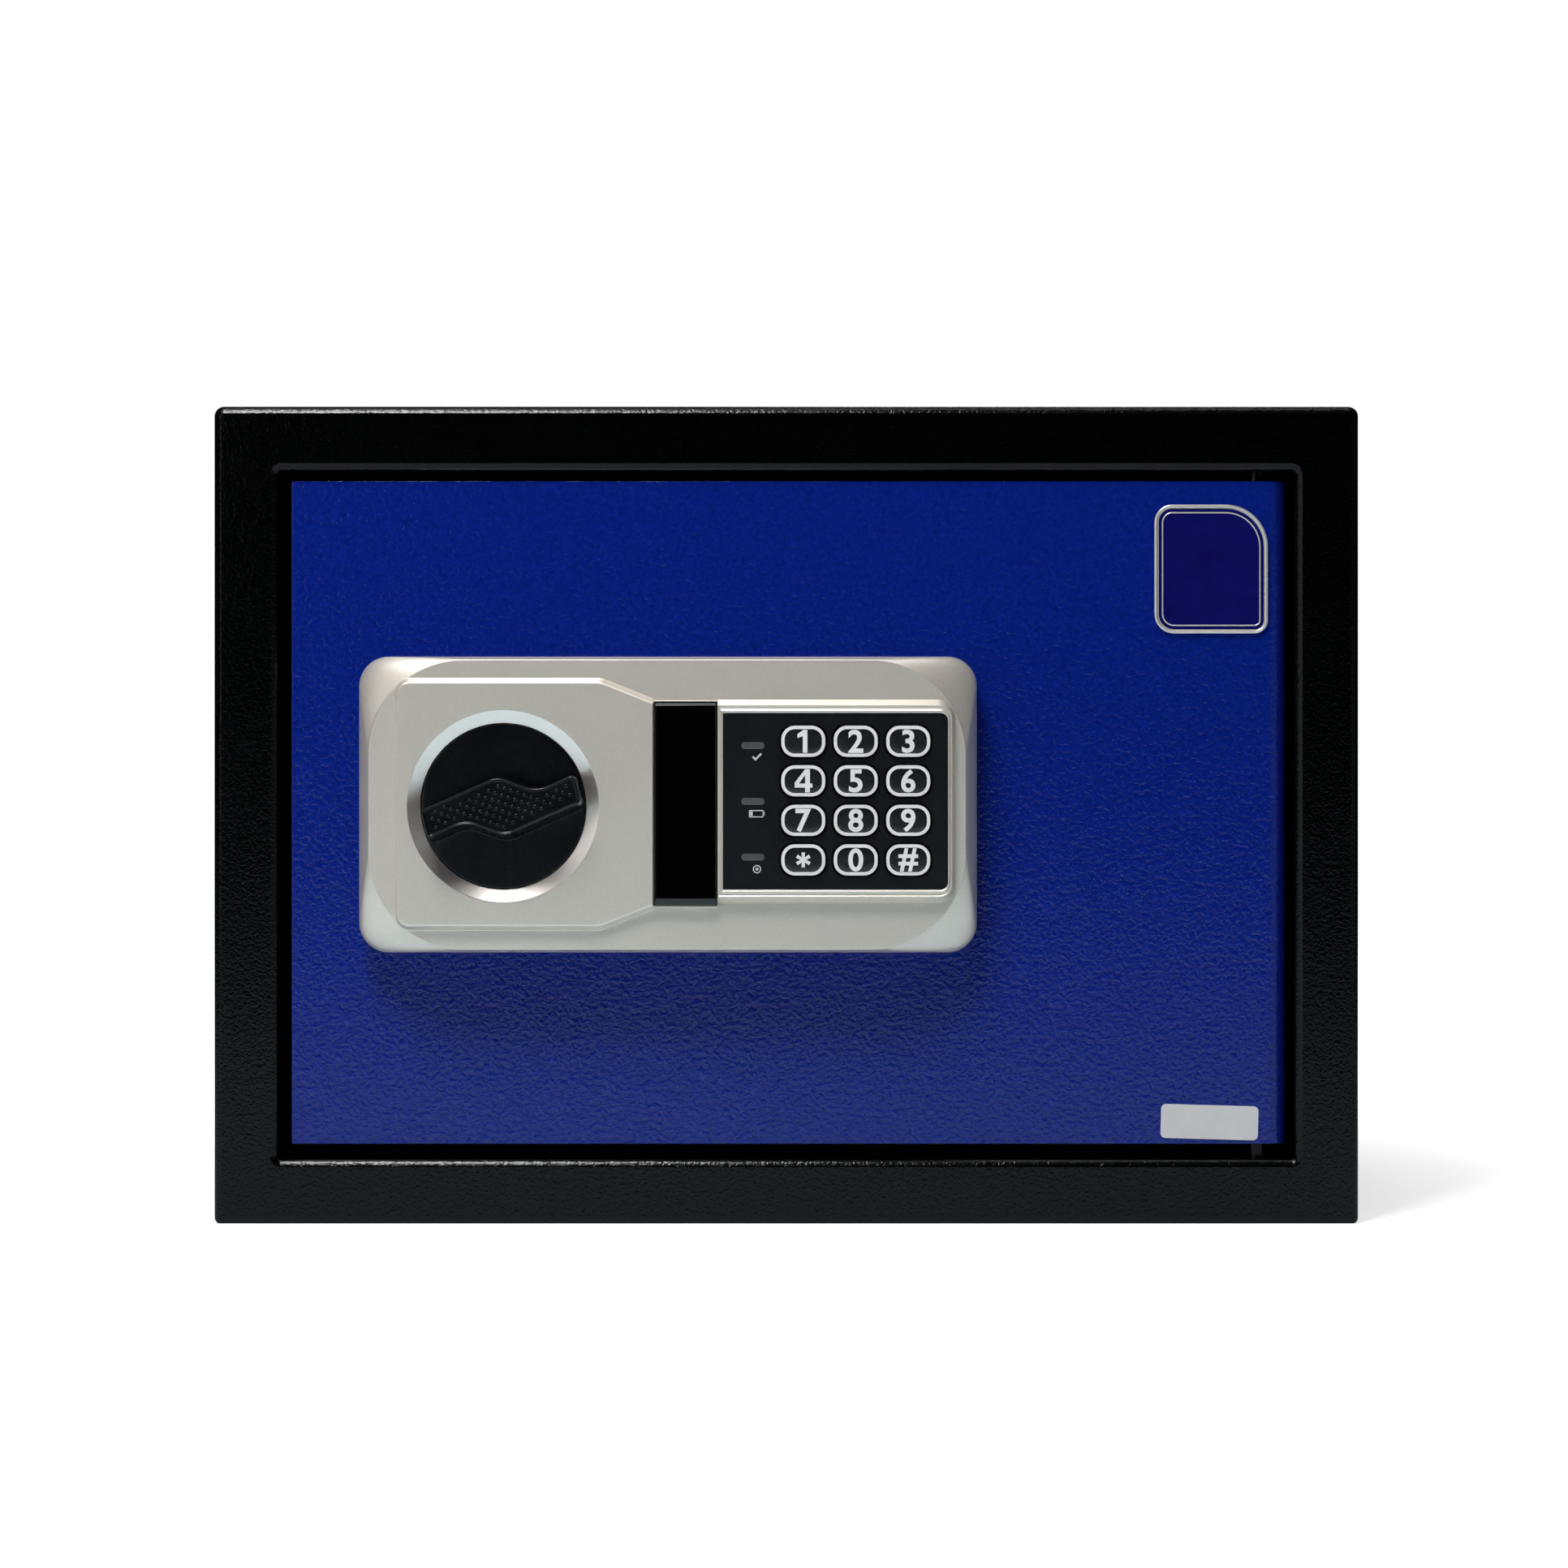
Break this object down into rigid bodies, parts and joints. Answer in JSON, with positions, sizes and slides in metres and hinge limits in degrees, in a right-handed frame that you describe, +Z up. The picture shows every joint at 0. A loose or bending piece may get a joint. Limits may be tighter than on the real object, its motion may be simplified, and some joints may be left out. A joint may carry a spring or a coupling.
{
  "type": "electronic safe",
  "caption": "Sheet-steel box safe with a recessed hinged door, turning knob, keypad, emergency key lock and sliding bolts.",
  "frame": {"origin": "middle of the flat base, where the safe rests", "axes": "+X to the right of the front, +Y to the back, +Z up; the door faces -Y"},
  "size_m": [0.35, 0.2745, 0.25],
  "materials": {
    "frame_coat": "near-black powder coat with a fine wrinkled texture",
    "door_coat": "royal blue powder coat with a fine wrinkled texture",
    "cover_coat": "black powder coat",
    "silver_paint": "satin silver-grey metallic paint on moulded plastic",
    "knob_black": "matt black plastic",
    "key_plate": "satin black plate",
    "key_black": "satin black keys with white rims and characters",
    "gloss_black": "high gloss black",
    "lamp_lens": "smoked grey lens",
    "grey_rubber": "soft grey silicone",
    "black_rubber": "black rubber",
    "board_green": "green circuit board",
    "nickel": "nickel plate",
    "zinc": "zinc-plated steel",
    "raw_steel": "plain steel",
    "bright_steel": "bright turned steel",
    "brass": "brass",
    "coil_tape": "taped copper winding",
    "inner_black": "black moulded plastic",
    "reset_red": "red plastic",
    "wire_red": "red insulation",
    "cell_wrap": "plain dark wrap",
    "badge_metal": "silver rim with dark blue enamel",
    "label_white": "blank white label",
    "felt": "dark grey felt"
  },
  "bodies": {
    "cabinet": {"body_wrap": "frame_coat", "back_panel": "frame_coat", "front_frame": "frame_coat", "hinge_lugs": "raw_steel", "floor_mat": "felt"},
    "door": {"door_plate": "door_coat", "hinge_blocks": "raw_steel", "hinge_pins": "bright_steel", "lock_panel": "silver_paint", "keypad_plate": "key_plate", "led_lenses": "lamp_lens", "key_mat": "grey_rubber", "keypad_board": "board_green", "lock_cylinder": "nickel", "cylinder_nut": "zinc", "spindle_bush": "brass", "carriage_guides": "bright_steel", "bolt_bracket": "zinc", "bracket_studs": "zinc", "solenoid_frame": "zinc", "solenoid_coil": "coil_tape", "solenoid_spring": "bright_steel", "main_board": "board_green", "board_standoffs": "bright_steel", "reset_switch": "inner_black", "wire_loom": "wire_red", "cable_grommet": "black_rubber", "inner_cover": "cover_coat", "battery_holder": "inner_black", "battery_cells": "cell_wrap", "battery_contacts": "bright_steel", "panel_screws": "zinc", "cover_screws": "zinc", "badge_plate": "badge_metal", "blank_label": "label_white"},
    "knob_turning": {"knob": "knob_black", "knob_spindle": "bright_steel", "spindle_crank": "zinc"},
    "bolt_work": {"bolt_upper": "bright_steel", "bolt_lower": "bright_steel", "bolt_carriage": "zinc"},
    "lock_turning": {"lock_plug": "brass", "lock_cam": "zinc"},
    "plunger": {"solenoid_plunger": "bright_steel"},
    "key_strip": {"key_cover": "gloss_black"},
    "battery_lid": {"battery_cover": "inner_black"},
    "reset": {"reset_button": "reset_red"},
    "key_1_cap": {"key_1": "key_black"},
    "key_2_cap": {"key_2": "key_black"},
    "key_3_cap": {"key_3": "key_black"},
    "key_4_cap": {"key_4": "key_black"},
    "key_5_cap": {"key_5": "key_black"},
    "key_6_cap": {"key_6": "key_black"},
    "key_7_cap": {"key_7": "key_black"},
    "key_8_cap": {"key_8": "key_black"},
    "key_9_cap": {"key_9": "key_black"},
    "key_star_cap": {"key_star": "key_black"},
    "key_0_cap": {"key_0": "key_black"},
    "key_hash_cap": {"key_hash": "key_black"}
  },
  "joints": [
    {"name": "door_swing", "type": "hinge", "parent": "cabinet", "child": "door", "pos_m": [0.145, -0.1145, 0.125], "axis": [0, 0, 1], "range_deg": [0, 95]},
    {"name": "knob_turn", "type": "hinge", "parent": "door", "child": "knob_turning", "pos_m": [-0.0854, -0.138, 0.12775], "axis": [0, -1, 0], "range_deg": [0, 80]},
    {"name": "bolts_throw", "type": "slide", "parent": "door", "child": "bolt_work", "axis": [-1, 0, 0], "range_m": [0, 0.01543]},
    {"name": "lock_turn", "type": "hinge", "parent": "door", "child": "lock_turning", "pos_m": [-0.03035, -0.12, 0.1285], "axis": [0, -1, 0], "range_deg": [-90, 0]},
    {"name": "plunger_drop", "type": "slide", "parent": "door", "child": "plunger", "axis": [0, 0, -1], "range_m": [0, 0.005], "stiffness_N_per_m": 60, "springref_m": 0.006, "deforming": ["solenoid_spring"]},
    {"name": "key_strip_pull", "type": "slide", "parent": "door", "child": "key_strip", "axis": [0, -1, 0], "range_m": [0, 0.03]},
    {"name": "battery_lid_lift", "type": "slide", "parent": "door", "child": "battery_lid", "axis": [0, 1, 0], "range_m": [0, 0.03]},
    {"name": "reset_press", "type": "slide", "parent": "door", "child": "reset", "axis": [0, -1, 0], "range_m": [0, 0.001], "stiffness_N_per_m": 500},
    {"name": "key_1_press", "type": "slide", "parent": "door", "child": "key_1_cap", "axis": [0, 1, 0], "range_m": [0, 0.001], "stiffness_N_per_m": 600},
    {"name": "key_2_press", "type": "slide", "parent": "door", "child": "key_2_cap", "axis": [0, 1, 0], "range_m": [0, 0.001], "stiffness_N_per_m": 600},
    {"name": "key_3_press", "type": "slide", "parent": "door", "child": "key_3_cap", "axis": [0, 1, 0], "range_m": [0, 0.001], "stiffness_N_per_m": 600},
    {"name": "key_4_press", "type": "slide", "parent": "door", "child": "key_4_cap", "axis": [0, 1, 0], "range_m": [0, 0.001], "stiffness_N_per_m": 600},
    {"name": "key_5_press", "type": "slide", "parent": "door", "child": "key_5_cap", "axis": [0, 1, 0], "range_m": [0, 0.001], "stiffness_N_per_m": 600},
    {"name": "key_6_press", "type": "slide", "parent": "door", "child": "key_6_cap", "axis": [0, 1, 0], "range_m": [0, 0.001], "stiffness_N_per_m": 600},
    {"name": "key_7_press", "type": "slide", "parent": "door", "child": "key_7_cap", "axis": [0, 1, 0], "range_m": [0, 0.001], "stiffness_N_per_m": 600},
    {"name": "key_8_press", "type": "slide", "parent": "door", "child": "key_8_cap", "axis": [0, 1, 0], "range_m": [0, 0.001], "stiffness_N_per_m": 600},
    {"name": "key_9_press", "type": "slide", "parent": "door", "child": "key_9_cap", "axis": [0, 1, 0], "range_m": [0, 0.001], "stiffness_N_per_m": 600},
    {"name": "key_star_press", "type": "slide", "parent": "door", "child": "key_star_cap", "axis": [0, 1, 0], "range_m": [0, 0.001], "stiffness_N_per_m": 600},
    {"name": "key_0_press", "type": "slide", "parent": "door", "child": "key_0_cap", "axis": [0, 1, 0], "range_m": [0, 0.001], "stiffness_N_per_m": 600},
    {"name": "key_hash_press", "type": "slide", "parent": "door", "child": "key_hash_cap", "axis": [0, 1, 0], "range_m": [0, 0.001], "stiffness_N_per_m": 600}
  ],
  "couplings": [
    {"joint": "knob_turn", "follows": "bolts_throw", "rad_per_m": 90.508}
  ]
}
